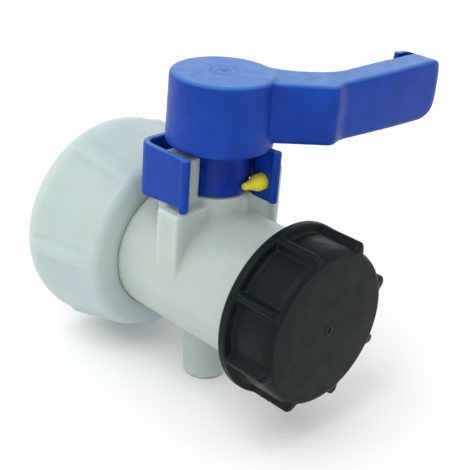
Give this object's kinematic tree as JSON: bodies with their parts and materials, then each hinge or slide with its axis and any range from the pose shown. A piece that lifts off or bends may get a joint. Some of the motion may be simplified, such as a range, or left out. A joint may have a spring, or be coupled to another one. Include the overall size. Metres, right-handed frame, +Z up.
{
  "type": "container outlet butterfly valve",
  "caption": "Plastic quarter-turn butterfly outlet valve for a bulk liquid container, with inlet union nut, lever handle, lock clip with safety pin and ribbed screw cap.",
  "frame": {"origin": "where the pipe's axis meets the plane of the union nut's open end, on the side that screws on to the container", "axes": "+X along the pipe from the container to the outlet cap, +Z up the stem to the lever, +Y completes the right-handed frame"},
  "size_m": [0.1382, 0.15, 0.139],
  "materials": {
    "natural_polyethylene": "natural translucent polyethylene, satin",
    "natural_polyethylene_nut": "natural translucent polyethylene, satin",
    "disc_plastic": "moulded polypropylene, satin",
    "handle_blue": "moulded blue plastic, satin",
    "collar_dark_blue": "moulded dark blue plastic, satin",
    "clip_blue": "moulded blue plastic, satin",
    "pin_yellow": "moulded yellow plastic, satin",
    "cap_black": "moulded charcoal plastic, satin",
    "sealing_rubber": "moulded black rubber",
    "bearing_plastic": "turned bearing plastic",
    "stem_nylon": "glass-filled nylon",
    "stainless": "turned stainless steel"
  },
  "bodies": {
    "valve": {"valve_body": "natural_polyethylene", "inlet_gasket": "sealing_rubber", "stem_bush_upper": "bearing_plastic", "stem_bush_lower": "bearing_plastic", "thrust_washer": "bearing_plastic", "lock_clip": "clip_blue"},
    "nut": {"union_nut": "natural_polyethylene_nut"},
    "lever": {"handle": "handle_blue", "handle_collar": "collar_dark_blue", "handle_washer": "stainless", "handle_screw": "stainless", "hub_plug": "handle_blue", "stem": "stem_nylon", "stem_o_ring_upper": "sealing_rubber", "stem_o_ring_lower": "sealing_rubber", "butterfly_disc": "disc_plastic", "disc_seal": "sealing_rubber", "disc_pin": "stainless"},
    "pin": {"safety_pin": "pin_yellow"},
    "cap_seal": {"cap_gasket": "sealing_rubber"},
    "cap": {"outlet_cap": "cap_black"}
  },
  "joints": [
    {"name": "nut_spin", "type": "hinge", "parent": "valve", "child": "nut", "pos_m": [0.02, 0, 0], "axis": [1, 0, 0], "continuous": true},
    {"name": "lever_turn", "type": "hinge", "parent": "valve", "child": "lever", "pos_m": [0.0708, 0, 0.06], "axis": [0, 0, 1], "range_deg": [-90, 0]},
    {"name": "pin_pull", "type": "slide", "parent": "valve", "child": "pin", "axis": [0, 1, 0], "range_m": [0, 0.018]},
    {"name": "cap_travel", "type": "slide", "parent": "valve", "child": "cap_seal", "axis": [1, 0, 0], "range_m": [0, 0.0242]},
    {"name": "cap_turn", "type": "hinge", "parent": "cap_seal", "child": "cap", "pos_m": [0.126, 0, 0], "axis": [1, 0, 0], "range_deg": [0, 1440]}
  ],
  "couplings": [
    {"joint": "cap_travel", "follows": "cap_turn", "m_per_rad": 0.00095493}
  ]
}
